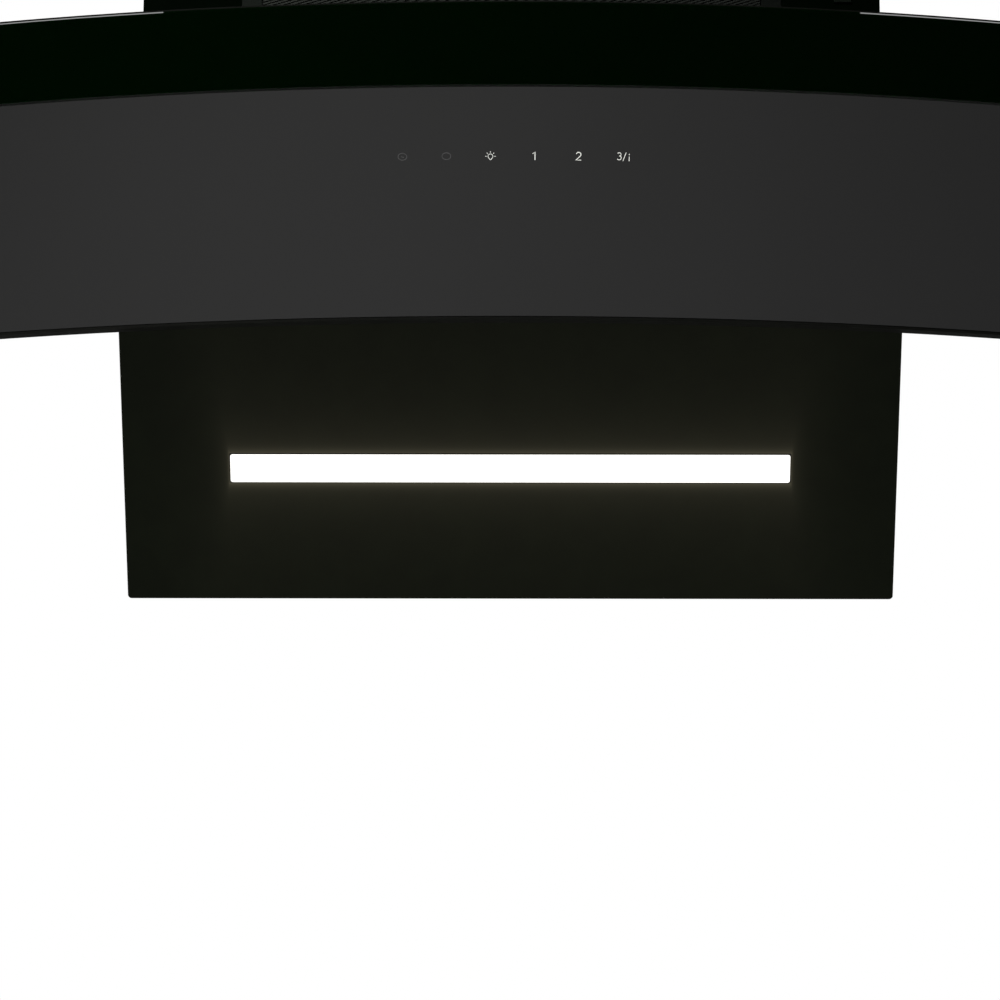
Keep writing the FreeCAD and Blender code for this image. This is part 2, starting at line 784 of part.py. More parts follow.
def build_hinge():
    """Brackets on the lamp panel and the pins that the lugs of the visor turn on."""
    pins = []
    for name, side in SIDES:
        bracket = new_body("visor_bracket_" + name)
        inner = mirrored(side, "ear_inside")
        outer = mirrored(side, "ear_inside + ear_thick + foot_length")
        left, right = (inner, outer) if side > 0 else (outer, inner)
        foot = rectangle(left, "hinge_along - foot_below", right, "hinge_along + foot_above")
        holes = [(x, y, "screw_hole") for x, y in bracket_screw_places() if value(x) * side > 0]
        add_prism(bracket, "XY_Plane", "0", "foot_thick", [foot], holes)
        start = span(side, "ear_inside", "ear_thick")
        stem = rectangle("hinge_along - ear_radius", "0", "hinge_along + ear_radius", "hinge_proud")
        add_prism(bracket, "YZ_Plane", start, "ear_thick", [stem])
        add_prism(bracket, "YZ_Plane", start, "ear_thick", [],
                  [("hinge_along", "hinge_proud", "ear_radius")])
        bore = new_sketch(bracket, "YZ_Plane", "0")
        draw_circle(bore, "hinge_along", "hinge_proud", "hinge_pin_radius")
        drill(bracket, bore)
        on_slope(bracket)

        pin_length = "lug_thick + ear_step + ear_thick"
        shank = cylinder("PinShank" + name, "x", span(side, "lug_inside", pin_length), "hinge_y",
                         "hinge_z",
                         "hinge_pin_radius", pin_length)
        head = cylinder("PinHead" + name, "x", span(side, "ear_inside + ear_thick", "pin_head"),
                        "hinge_y",
                        "hinge_z", "ear_radius", "pin_head")
        pins.append(fuse("VisorPin" + name, [shank, head]))
    group("visor_pins", pins)

    screws = []
    for index, (across, along) in enumerate(bracket_screw_places()):
        item = screw("BracketScrew%d" % index, "z", (across, along, "foot_thick"),
                     "foot_thick + panel_thick + screw_tail", flip=True)
        screws.append(item)
    on_slope(group("bracket_screws", screws))


def build_keys():
    """Touch board with its cover and contact springs, behind a window in the visor frame."""
    cover = new_body("touch_cover")
    low = "mark_along - cover_height / 2"
    high = "mark_along + cover_height / 2"
    outside = centred("cover_half", low, high)
    inside = centred("cover_half - cover_wall", low + " + cover_wall", high + " - cover_wall")
    add_prism(cover, "XY_Plane", "cover_floor", "cover_wall", [outside])
    add_prism(cover, "XY_Plane", "cover_floor + cover_wall", "cover_deep - cover_wall",
              [outside, inside])
    bosses = []
    for across in ("key_half - boss_inset", "-(key_half - boss_inset)"):
        for along in ("mark_along - key_height / 2 + boss_inset",
                      "mark_along + key_height / 2 - boss_inset"):
            bosses.append((across, along, "boss_radius"))
    add_prism(cover, "XY_Plane", "cover_floor + cover_wall", "cover_boss", [], bosses)
    on_slope(cover)

    board = centred("key_half", "mark_along - key_height / 2", "mark_along + key_height / 2")
    on_slope(prism("touch_board", "XY_Plane", "board_back", "board_thick", [board]))

    springs = []
    for index in range(int(value("key_count"))):
        across = "(%d * mark_pitch - mark_half)" % index
        sag = "(arc_radius - sqrt(arc_radius * arc_radius - %s * %s))" % (across, across)
        reach = "glass_proud - glass_thick - cos(lean) * %s - end_gap - board_back - board_thick" % sag
        springs.append(cylinder("KeySpring%d" % index, "z", across, "mark_along",
                                "board_back + board_thick",
                                "spring_radius", reach))
    on_slope(group("touch_springs", springs))


def build_filter():
    """Cassette grease filter that tips forward on a rod through its lower edge."""
    frame = new_body("filter_frame")
    outside = centred("filter_half", "filter_bottom", "filter_top")
    inside = centred("filter_half - filter_border", "filter_bottom + filter_border",
                     "filter_top - filter_border")
    add_prism(frame, "XZ_Plane", "column_depth - filter_depth", "filter_depth", [outside, inside])
    bore = new_sketch(frame, "YZ_Plane", "0")
    draw_circle(bore, "pivot_y", "pivot_z", "pivot_radius + run_gap")
    drill(frame, bore)

    keep(expanded_mesh(), "filter_mesh")

    ends = "opening_half + pivot_gap + pivot_block"
    rod = cylinder("filter_rod", "x", opposite(ends), "pivot_y", "pivot_z", "pivot_radius",
                   "2 * (" + ends + ")")
    keep(rod, "filter_rod")
    pivots = []
    stops = []
    for name, side in SIDES:
        body = block("PivotBlock" + name, span(side, "opening_half + pivot_gap", "pivot_block"),
                     "front_inner",
                     "pivot_z - pivot_half", "pivot_block", "2 * pivot_half", "2 * pivot_half")
        hole = cylinder("PivotHole" + name, "x", opposite(ends), "pivot_y", "pivot_z", "pivot_radius",
                        "2 * (" + ends + ")")
        pivots.append(cut("FilterPivot" + name, body, hole))
        stop_back = "filter_back + filter_side_gap"
        stop_low = "filter_top - stop_below_top"
        post_arm = block("StopArm" + name, span(side, "opening_half + pivot_gap", "stop_reach"),
                         "front_inner",
                         stop_low, "stop_reach", stop_back + " + stop_depth - front_inner", "stop_tall")
        inner_arm = block("StopTip" + name, span(side, "filter_half - stop_reach", "2 * stop_reach"),
                          stop_back,
                          stop_low, "2 * stop_reach", "stop_depth", "stop_tall")
        stops.append(fuse("FilterStop" + name, [post_arm, inner_arm]))
    group("filter_pivots", pivots)
    group("filter_stops", stops)

    handle_y = "-column_depth - handle_stand"
    handle_z = "filter_top - filter_border / 2"
    pads = []
    wires = []
    for name, side in SIDES:
        across = "handle_width / 2 - handle_wire - pad_width"
        body = block("HandlePad" + name, span(side, across, "pad_width"), "-column_depth - pad_depth",
                     handle_z + " - pad_height / 2", "pad_width", "pad_depth", "pad_height")
        hole = cylinder("HandleHole" + name, "x", "-handle_width / 2", handle_y, handle_z,
                        "handle_wire + run_gap", "handle_width")
        pads.append(cut("FilterPad" + name, body, hole))
        leg_x = mirrored(side, "handle_width / 2 + handle_wire / 2")
        tip_run = "pad_width + handle_wire + handle_wire / 2"
        tip = cylinder("HandleTip" + name, "x", span(side, across, tip_run), handle_y, handle_z,
                       "handle_wire", tip_run)
        leg = cylinder("HandleLeg" + name, "z", leg_x, handle_y, handle_z + " - handle_drop",
                       "handle_wire", "handle_drop")
        wires += [tip, leg]
        for end in (handle_z, handle_z + " - handle_drop"):
            knee = doc.addObject("Part::Sphere", "HandleKnee" + name)
            bind(knee, "Radius", "handle_wire")
            wires.append(put(knee, leg_x, handle_y, end))
    wires.append(cylinder("HandleGrip", "x", "-handle_width / 2 - handle_wire / 2", handle_y,
                          handle_z + " - handle_drop", "handle_wire", "handle_width + handle_wire"))
    group("filter_handle_pads", pads)
    keep(fuse("filter_handle", wires), "filter_handle")

    tray = new_body("drip_tray")
    front = "front_inner + tray_setback"
    back = front + " + tray_depth"
    rim = centred("tray_width / 2", front, back)
    well = centred("tray_width / 2 - tray_wall", front + " + tray_wall", back + " - tray_wall")
    add_prism(tray, "XY_Plane", "floor_top", "tray_wall", [rim])
    add_prism(tray, "XY_Plane", "floor_top + tray_wall", "tray_height - tray_wall", [rim, well])


def expanded_mesh():
    """Sheet with rows of diamond openings, filling the filter frame."""
    half = value("filter_half - filter_border")
    low = value("filter_bottom + filter_border")
    high = value("filter_top - filter_border")
    pitch = value("mesh_pitch")
    reach = value("mesh_hole") / 2
    front = value("-column_depth + filter_depth / 2 - mesh_thick / 2")
    outer = [(-half, low), (half, low), (half, high), (-half, high)]
    outlines = [outer]
    columns = int(2 * half / pitch)
    rows = int((high - low) / pitch)
    for column in range(columns):
        for row in range(rows):
            across = (column - (columns - 1) / 2) * pitch
            up = (low + high) / 2 + (row - (rows - 1) / 2) * pitch
            sides = [(across - reach, up), (across, up - reach), (across + reach, up),
                     (across, up + reach)]
            outlines.append(sides)
    wires = []
    for outline in outlines:
        points = [FreeCAD.Vector(across, front, up) for across, up in outline]
        wires.append(Part.makePolygon(points + points[:1]))
    thing = doc.addObject("Part::Feature", "FilterMesh")
    thing.Shape = Part.Face(wires, "Part::FaceMakerBullseye").extrude(Y_AXIS * value("mesh_thick"))
    return thing


def build_blower():
    """Double inlet blower that hangs under the top plate."""
    outer_width = "2 * scroll_outside"
    outside = cylinder("ScrollOutside", "x", "-scroll_outside", "scroll_y", "fan_up",
                       "scroll_radius + scroll_wall", outer_width)
    duct = block("DuctOutside", "-scroll_outside", "duct_front - scroll_wall", "fan_up", outer_width,
                 "duct_back - duct_front + 2 * scroll_wall", "deck - fan_up")
    solids = [outside, duct]
    for name, side in SIDES:
        flange = block("ScrollFlange" + name, span(side, "scroll_half", "scroll_wall + flange_wide"),
                       "duct_front",
                       "deck - flange_thick", "scroll_wall + flange_wide", "duct_back - duct_front",
                       "flange_thick")
        solids.append(flange)
    hollow = [
        cylinder("ScrollInside", "x", "-scroll_half", "scroll_y", "fan_up", "scroll_radius",
                 "2 * scroll_half"),
        block("DuctInside", "-scroll_half", "duct_front", "fan_up", "2 * scroll_half",
              "duct_back - duct_front",
              "rise - fan_up"),
        cylinder("Inlets", "x", "-scroll_outside", "fan_y", "fan_up", "inlet_radius", outer_width),
    ]
    for index, (across, back) in enumerate(collar_screw_places()):
        hollow.append(cylinder("FlangeHole%d" % index, "z", across, back, "deck - flange_thick",
                               "screw_hole",
                               "flange_thick"))
    for index, (back, up) in enumerate(arm_screw_places()):
        hollow.append(cylinder("ArmHole%d" % index, "x", "scroll_half", back, up, "screw_hole",
                               "scroll_wall"))
    shell = cut("Scroll", fuse("ScrollSolid", solids), fuse("ScrollHollow", hollow))
    for name, side in SIDES:
        reach = "scroll_outside + flange_wide"
        half = block("ScrollHalf" + name, span(side, "0", reach), "-column_depth",
                     "fan_up - 2 * scroll_radius",
                     reach, "column_depth", "rise - fan_up + 2 * scroll_radius")
        common = doc.addObject("Part::Common", "Scroll" + name)
        common.Base = shell
        common.Tool = half
        keep(common, "scroll_" + name)

    wheel = new_body("impeller_wheel")
    disc = [("0", "0", "disc_radius"), ("0", "0", "shaft_radius")]
    hub = [("0", "0", "hub_radius"), ("0", "0", "shaft_radius")]
    add_prism(wheel, "YZ_Plane", "-disc_thick / 2", "disc_thick", [], disc)
    add_prism(wheel, "YZ_Plane", "-hub_half", "2 * hub_half", [], hub)
    vane = [
        ("wheel_inner", "-blade_thick / 2"),
        ("wheel_radius", "blade_sweep - blade_thick / 2"),
        ("wheel_radius", "blade_sweep + blade_thick / 2"),
        ("wheel_inner", "blade_thick / 2"),
    ]
    blade = add_prism(wheel, "YZ_Plane", "-wheel_half", "2 * wheel_half", [vane])
    polar_copies(wheel, blade, "blade_count")
    rim = [("0", "0", "wheel_radius + rim_margin"), ("0", "0", "wheel_inner - rim_margin")]
    for start in ("wheel_half", "-wheel_half - rim_thick"):
        add_prism(wheel, "YZ_Plane", start, "rim_thick", [], rim)
    put(wheel, y="fan_y", z="fan_up")

    shaft_end = "motor_front + shaft_depth"
    shaft = cylinder("motor_shaft", "x", "-hub_half", "fan_y", "fan_up", "shaft_radius",
                     shaft_end + " + hub_half")
    keep(shaft, "motor_shaft")
    can = cylinder("MotorCan", "x", "motor_front", "fan_y", "fan_up", "motor_radius",
                   "scroll_outside - motor_front")
    bore = cylinder("MotorBore", "x", "motor_front", "fan_y", "fan_up", "shaft_radius + run_gap",
                    "shaft_depth + screw_tail")
    keep(cut("Motor", can, bore), "motor")

    star = new_body("motor_bracket")
    boss = [("0", "0", "star_radius"), ("0", "0", "star_bore")]
    add_prism(star, "YZ_Plane", "scroll_outside", "star_thick", [], boss)
    arm = rectangle("star_radius - star_bore", "-arm_width / 2", "arm_reach", "arm_width / 2")
    spoke = add_prism(star, "YZ_Plane", "scroll_outside", "star_thick", [arm],
                      [("arm_hole", "0", "screw_hole")])
    polar_copies(star, spoke, "arm_count")
    put(star, y="fan_y", z="fan_up")

    screws = []
    for index, (back, up) in enumerate(arm_screw_places()):
        screws.append(screw("MotorScrew%d" % index, "x", ("scroll_outside + star_thick", back, up),
                            "star_thick + scroll_wall + screw_tail", flip=True))
    group("motor_screws", screws)


def arm_screw_places():
    """Screws at the ends of the arms that carry the motor."""
    places = []
    for index in range(int(value("arm_count"))):
        turn = "%d * 360 / arm_count" % index
        places.append(("fan_y + arm_hole * cos(%s)" % turn, "fan_up + arm_hole * sin(%s)" % turn))
    return places


def build_outlet():
    """Outlet collar on the top plate, with two damper flaps on one rod."""
    collar = new_body("outlet_collar")
    plate = rectangle("-collar_flange", "outlet_y - collar_radius - collar_lap", "collar_flange",
                      "outlet_y + collar_radius + collar_lap")
    throat = ("0", "outlet_y", "collar_inner")
    holes = [(x, y, "screw_hole") for x, y in collar_screw_places()]
    add_prism(collar, "XY_Plane", "rise", "collar_wall", [plate], [throat] + holes)
    tube = [("0", "outlet_y", "collar_radius"), throat]
    add_prism(collar, "XY_Plane", "rise + collar_wall", "collar_tall - collar_wall", [], tube)
    bore = new_sketch(collar, "YZ_Plane", "0")
    draw_circle(bore, "outlet_y", "damper_z", "damper_rod_radius")
    rod_half = "collar_radius - socket_skin"
    rod_length = "2 * (" + rod_half + ")"
    drill(collar, bore, rod_length)
    keep(cylinder("damper_rod", "x", opposite(rod_half), "outlet_y", "damper_z", "damper_rod_radius",
                  rod_length), "damper_rod")

    for name, turn in (("back", "0"), ("front", "180")):
        disc = doc.addObject("Part::Cylinder", "FlapDisc" + name)
        bind(disc, "Radius", "flap_radius")
        bind(disc, "Height", "flap_thick")
        disc.Angle = 180
        put(disc, z="-flap_thick / 2")
        slot = block("FlapSlot" + name, "-flap_radius", "0", "-flap_thick / 2", "2 * flap_radius",
                     "knuckle_radius + flap_clear", "flap_thick")
        knuckle = cylinder("FlapKnuckle" + name, "x", "knuckle_inset", "0", "0", "knuckle_radius",
                           "knuckle_length")
        web = block("FlapWeb" + name, "knuckle_inset", "0", "-flap_thick / 2", "knuckle_length",
                    "knuckle_radius + 2 * flap_clear", "flap_thick")
        hole = cylinder("FlapBore" + name, "x", "-flap_radius", "0", "0", "damper_rod_radius + run_gap",
                        "2 * flap_radius")
        leaf = fuse("FlapLeaf" + name, [cut("FlapHalf" + name, disc, slot), knuckle, web])
        flap = keep(cut("Flap" + name, leaf, hole), "damper_flap_" + name)
        put(flap, y="outlet_y", z="damper_z", axis=Z_AXIS, angle=turn)

    screws = []
    for index, (across, back) in enumerate(collar_screw_places()):
        screws.append(screw("CollarScrew%d" % index, "z", (across, back, "rise + collar_wall"),
                            "collar_wall + skin + flange_thick + screw_tail", flip=True))
    group("collar_screws", screws)


def sleeve(label, half, front, start, length):
    """Three sided cover, open towards the wall."""
    outline = [
        (opposite(half), "-chimney_back"),
        (opposite(half), front),
        (half, front),
        (half, "-chimney_back"),
        (half + " - chimney_wall", "-chimney_back"),
        (half + " - chimney_wall", front + " + chimney_wall"),
        (opposite(half) + " + chimney_wall", front + " + chimney_wall"),
        (opposite(half) + " + chimney_wall", "-chimney_back"),
    ]
    return prism(label, "XY_Plane", start, length, [outline])


def build_chimney():
    """Telescopic cover over the duct."""
    sleeve("chimney_lower", "chimney_half", "-chimney_depth", "rise", "chimney_tall")
    sleeve("chimney_upper", "upper_half", "upper_front", "rise + upper_lift",
           "chimney_tall - upper_lift + upper_proud")
    feet = []
    screws = []
    for name, side in SIDES:
        toe = block("FootToe" + name, span(side, "foot_outside - chimney_foot", "chimney_foot"),
                    "-chimney_depth / 2 - foot_run / 2", "rise", "chimney_foot", "foot_run",
                    "chimney_wall")
        heel = block("FootHeel" + name, span(side, "foot_outside - chimney_wall", "chimney_wall"),
                     "-chimney_depth / 2 - foot_run / 2", "rise", "chimney_wall", "foot_run",
                     "chimney_foot")
        feet.append(fuse("ChimneyFootSolid" + name, [toe, heel]))
    drilled = []
    for index, (across, back) in enumerate(foot_screw_places()):
        drilled.append(cylinder("FootHole%d" % index, "z", across, back, "rise", "screw_hole",
                                "chimney_wall"))
        screws.append(screw("FootScrew%d" % index, "z", (across, back, "rise + chimney_wall"),
                            "chimney_wall + skin + screw_tail", flip=True))
    holes = doc.addObject("Part::Compound", "FootHoles")
    holes.Links = drilled
    drilled_feet = [cut("ChimneyFoot%d" % index, foot, holes) for index, foot in enumerate(feet)]
    group("chimney_feet", drilled_feet)
    group("chimney_screws", screws)

    bar_low = "rise + chimney_tall + upper_proud - bar_tall"
    inside = "upper_half - chimney_wall"
    bar = [
        (opposite(inside), "-chimney_back - bar_depth"),
        (opposite(inside) + " + chimney_wall", "-chimney_back - bar_depth"),
        (opposite(inside) + " + chimney_wall", "-chimney_back - chimney_wall"),
        (inside + " - chimney_wall", "-chimney_back - chimney_wall"),
        (inside + " - chimney_wall", "-chimney_back - bar_depth"),
        (inside, "-chimney_back - bar_depth"),
        (inside, "-chimney_back"),
        (opposite(inside), "-chimney_back"),
    ]
    prism("chimney_bar", "XY_Plane", bar_low, "bar_tall", [bar])


def build_electrics():
    """Control box, terminals and cable gland."""
    case = new_body("control_box")
    outside = centred("box_length / 2", "box_bottom", "box_bottom + box_height")
    inside = centred("box_length / 2 - box_wall", "box_bottom + box_wall",
                     "box_bottom + box_height - box_wall")
    add_prism(case, "XZ_Plane", "skin", "box_wall", [outside])
    add_prism(case, "XZ_Plane", "skin + box_wall", "box_depth - box_wall", [outside, inside])
    bosses = []
    for across in ("box_length / 2 - 2 * boss_inset", "-(box_length / 2 - 2 * boss_inset)"):
        for up in ("box_bottom + 2 * boss_inset", "box_bottom + box_height - 2 * boss_inset"):
            bosses.append((across, up, "boss_radius"))
    add_prism(case, "XZ_Plane", "skin + box_wall", "box_boss", [], bosses)
    prism("control_lid", "XZ_Plane", "skin + box_depth", "box_wall", [outside])
    board = centred("box_length / 2 - boss_inset", "box_bottom + boss_inset",
                    "box_bottom + box_height - boss_inset")
    prism("power_board", "XZ_Plane", "board_y", "board_thick", [board])
    terminal = block("terminal_block", "box_length / 2 + terminal_gap", "-skin - terminal_depth",
                     "box_bottom",
                     "terminal_length", "terminal_depth", "terminal_height")
    keep(terminal, "terminal_block")

    gland = new_body("cable_gland")
    hole = ("gland_across", "-gland_back", "gland_bore")
    flange = ("gland_across", "-gland_back", "gland_flange")
    neck = ("gland_across", "-gland_back", "gland_radius")
    add_prism(gland, "XY_Plane", "deck - gland_nut", "gland_nut", [], [flange, hole])
    add_prism(gland, "XY_Plane", "deck", "skin", [], [neck, hole])
    add_prism(gland, "XY_Plane", "rise", "gland_tall", [], [flange, hole])


def write_parts():
    """Check every object and write one file for each piece."""
    doc.recompute()
    for thing in doc.Objects:
        if "Invalid" in thing.State or "Error" in thing.State:
            raise RuntimeError("failed object " + thing.Label)
    for thing in nodes:
        if thing.Shape.isNull() or not thing.Shape.isValid():
            raise RuntimeError("bad shape " + thing.Label)
    os.makedirs("parts", exist_ok=True)
    for thing in nodes:
        thing.Shape.exportStep("parts/" + thing.Label + ".step")
    print(len(nodes), "pieces")


build_column()
build_lamp()
build_visor()
build_hinge()
build_keys()
build_filter()
build_blower()
build_outlet()
build_chimney()
build_electrics()
write_parts()
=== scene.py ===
"""Looks of the angled wall hood: finishes, touch symbols, fine filter mesh, light and camera.

Metres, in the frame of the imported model: the wall is Y = 0, the room is on the -Y side, +Z is up.
"""
import bpy
import json
import math
from mathutils import Matrix, Vector
from mathutils.bvhtree import BVHTree


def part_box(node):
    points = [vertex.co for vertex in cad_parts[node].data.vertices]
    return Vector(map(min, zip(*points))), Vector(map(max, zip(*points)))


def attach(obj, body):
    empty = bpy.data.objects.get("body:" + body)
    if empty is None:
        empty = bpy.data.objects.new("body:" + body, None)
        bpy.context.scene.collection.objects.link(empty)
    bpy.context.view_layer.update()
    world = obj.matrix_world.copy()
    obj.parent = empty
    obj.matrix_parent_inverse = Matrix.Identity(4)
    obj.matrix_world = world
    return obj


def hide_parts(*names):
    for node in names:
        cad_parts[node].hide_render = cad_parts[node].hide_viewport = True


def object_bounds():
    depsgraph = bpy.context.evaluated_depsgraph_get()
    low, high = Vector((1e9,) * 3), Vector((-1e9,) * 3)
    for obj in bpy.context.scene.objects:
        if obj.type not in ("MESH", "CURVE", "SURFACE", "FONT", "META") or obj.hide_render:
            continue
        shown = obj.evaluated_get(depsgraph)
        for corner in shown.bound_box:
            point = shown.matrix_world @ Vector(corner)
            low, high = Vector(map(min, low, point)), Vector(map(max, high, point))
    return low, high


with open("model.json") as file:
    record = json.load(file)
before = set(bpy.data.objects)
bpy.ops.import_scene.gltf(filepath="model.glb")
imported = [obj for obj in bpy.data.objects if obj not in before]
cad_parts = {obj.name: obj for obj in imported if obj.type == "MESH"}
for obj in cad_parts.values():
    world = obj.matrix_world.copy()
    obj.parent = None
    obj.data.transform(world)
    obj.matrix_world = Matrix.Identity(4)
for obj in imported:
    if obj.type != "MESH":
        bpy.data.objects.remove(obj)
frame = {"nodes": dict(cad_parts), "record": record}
cad_low, cad_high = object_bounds()
nodes = frame["nodes"]

MM = 0.001
LEAN = math.radians(33)

# light window in the lamp panel, seen from its middle: X across, Y up the panel, Z out of it
WINDOW_MIDDLE = (0.0, -294.1 * MM, -309.0 * MM)
WINDOW_TURN = math.pi / 2 + LEAN
WINDOW_HALF = (217.85 * MM, 12.6 * MM, 0.0)

# lit face of the diffuser: a rounded rectangle with a sharp edge, sharpest in depth
LIT_HALF = (215.15 * MM, 9.6 * MM, 0.5 * MM)
LIT_CORNER = 1.8 * MM
LIT_EDGE = 0.1 * MM
LIT_FALL = (1.0, 1.0, 20.0)
EDGE_BROWN = (0.014, 0.011, 0.003)
UNLIT = (0, 0, 0)

# painted glow: stray light of the window painted on the panel as emission, which fades faster to
# the sides than up and down
PAINTED_GLOW_TINT = (1.0, 0.9, 0.62)
PAINTED_GLOW_SPREAD = (3.5, 1.0, 0.0)
EDGE_PAINTED_GLOW, EDGE_REACH = 0.035, 2.5 * MM
NEAR_PAINTED_GLOW, NEAR_REACH = 0.012, 18 * MM
FAR_PAINTED_GLOW, FAR_REACH = 0.005, 110 * MM

# textures: part of a pattern that its two tints fade over, and lines and crystals per metre
TINT_FROM, TINT_TO = 0.3, 0.7
BRUSH_LINES = (12, 1500, 1500)
SPANGLES = 170
GLASS_IOR = 1.5

# touch symbols on the glass, in a row under its top edge and a little right of its middle
MARK_DROP = 45.0 * MM
MARK_PITCH = 32.7 * MM
MARK_SHIFT = 1.85 * MM
MARK_SUNK = 0.1 * MM
MARK_PROUD = 0.06 * MM
DIGIT_TALL = 6.2 * MM
DIGIT_STROKE = 0.65 * MM
SMALL_TALL = 5.6 * MM
SMALL_STROKE = 0.52 * MM
BULB_TALL = 5.3 * MM
BULB_STROKE = 0.42 * MM
RING_WIDE = 6.6 * MM
RING_TALL = 5.2 * MM
RING_STROKE = 0.5 * MM
ARC_STEPS = 20
MITRE_LIMIT = 1.5
GLASS_AHEAD = 100 * MM

# fine expanded mesh of the grease filter
CELL_WIDE = 8 * MM
CELL_TALL = 2.4 * MM
STRAND_WIDE = 1.3 * MM

# studio: floor, softboxes, and a room that turns white from just in front of the hood to its back
FLOOR_DROP = 1.55
FLOOR_LEVEL = cad_low.z - FLOOR_DROP
FLOOR_HALF = 30.0
FLOOR_LIFT = 0.55
FRONT_PLACE = Vector((-0.7, -1.9, 1.2))
FRONT_SIZE = 1.2
FRONT_WATTS = 39
FRONT_SPREAD = math.radians(150)
TOP_PLACE = Vector((0.0, 0.6, 3.0))
TOP_SIZE = 2.5
TOP_WATTS = 40
TOP_SPREAD = math.pi
DIM_FROM, WHITE_FROM = -0.1, 0.4
DIM_ROOM = 0.006
WHITE_ROOM = 0.9

# camera of the photograph
CAMERA_PLACE = Vector((0.0101, -3.3144, -1.0146))
CAMERA_PITCH = math.radians(12.7)
CAMERA_YAW = math.radians(0.34)
CAMERA_ROLL = math.radians(0.15)
CAMERA_LENS = 144.0
SENSOR_WIDTH = 36.0


class Shader:
    """Node material with one principled surface and the textures that feed it."""

    def __init__(self, name):
        self.material = bpy.data.materials.new(name)
        self.material.use_nodes = True
        self.tree = self.material.node_tree
        self.surface = self.tree.nodes["Principled BSDF"]
        self.place = self.tree.nodes.new("ShaderNodeTexCoord").outputs["Object"]

    def set(self, **values):
        for name, value in values.items():
            self.surface.inputs[name.replace("_", " ")].default_value = value

    def link(self, output, node, name):
        self.tree.links.new(output, node.inputs[name])

    def stretched(self, scale):
        """Object coordinates, scaled differently along each axis."""
        mapping = self.tree.nodes.new("ShaderNodeMapping")
        mapping.inputs["Scale"].default_value = scale
        self.link(self.place, mapping, "Vector")
        return mapping.outputs["Vector"]

    def from_window(self):
        """Object coordinates seen from the middle of the light window."""
        mapping = self.tree.nodes.new("ShaderNodeMapping")
        mapping.vector_type = "TEXTURE"
        mapping.inputs["Location"].default_value = WINDOW_MIDDLE
        mapping.inputs["Rotation"].default_value = (WINDOW_TURN, 0, 0)
        self.link(self.place, mapping, "Vector")
        return mapping.outputs["Vector"]

    def calculate(self, kind, operation, *operands):
        """Math or vector math node, fed by outputs and by constants."""
        node = self.tree.nodes.new(kind)
        node.operation = operation
        for index, operand in enumerate(operands):
            if isinstance(operand, bpy.types.NodeSocket):
                self.link(operand, node, index)
            else:
                node.inputs[index].default_value = operand
        return node

    def vectors(self, operation, *operands):
        return self.calculate("ShaderNodeVectorMath", operation, *operands).outputs["Vector"]

    def numbers(self, operation, *operands):
        return self.calculate("ShaderNodeMath", operation, *operands).outputs["Value"]

    def noise(self, per_metre, detail=3.0, vector=None):
        texture = self.tree.nodes.new("ShaderNodeTexNoise")
        texture.inputs["Scale"].default_value = per_metre
        texture.inputs["Detail"].default_value = detail
        self.link(vector or self.place, texture, "Vector")
        return texture.outputs["Fac"]

    def cells(self, per_metre):
        texture = self.tree.nodes.new("ShaderNodeTexVoronoi")
        texture.inputs["Scale"].default_value = per_metre
        self.link(self.place, texture, "Vector")
        split = self.tree.nodes.new("ShaderNodeSeparateColor")
        self.link(texture.outputs["Color"], split, "Color")
        return split.outputs["Red"]

    def tint(self, output, dark, light, name="Base Color"):
        """Colour that goes from dark to light with a texture."""
        ramp = self.tree.nodes.new("ShaderNodeValToRGB")
        low, high = ramp.color_ramp.elements
        low.position, high.position = TINT_FROM, TINT_TO
        low.color, high.color = (*dark, 1), (*light, 1)
        self.link(output, ramp, "Fac")
        self.link(ramp.outputs["Color"], self.surface, name)

    def roughen(self, output, low, high):
        """Roughness that goes from low to high with a texture."""
        reach = self.tree.nodes.new("ShaderNodeMapRange")
        reach.inputs["To Min"].default_value = low
        reach.inputs["To Max"].default_value = high
        self.link(output, reach, "Value")
        self.link(reach.outputs["Result"], self.surface, "Roughness")

    def relief(self, output, depth, strength):
        bump = self.tree.nodes.new("ShaderNodeBump")
        bump.inputs["Strength"].default_value = strength
        bump.inputs["Distance"].default_value = depth
        self.link(output, bump, "Height")
        self.link(bump.outputs["Normal"], self.surface, "Normal")


def shades(colour, spread):
    """A colour made a little darker and a little lighter."""
    dark = [channel * (1 - spread) for channel in colour]
    light = [channel * (1 + spread) for channel in colour]
    return dark, light


def painted(name, colour, gloss, rough):
    """Satin powder coat with a fine orange peel."""
    shader = Shader(name)
    shader.set(Specular_IOR_Level=gloss)
    shader.tint(shader.noise(per_metre=40), *shades(colour, spread=0.12))
    shader.roughen(shader.noise(per_metre=220), low=rough - 0.05, high=rough + 0.05)
    shader.relief(shader.noise(per_metre=900), depth=0.02 * MM, strength=0.25)
    return shader


def paint(name, colour, gloss, rough):
    return painted(name, colour, gloss, rough).material


def beyond_window(shader, half, weights):
    """Distance of a point from a rectangle in the middle of the light window."""
    beyond = shader.vectors("SUBTRACT", shader.vectors("ABSOLUTE", shader.from_window()), half)
    outside = shader.vectors("MULTIPLY", shader.vectors("MAXIMUM", beyond, (0, 0, 0)), weights)
    return shader.calculate("ShaderNodeVectorMath", "LENGTH", outside).outputs["Value"]


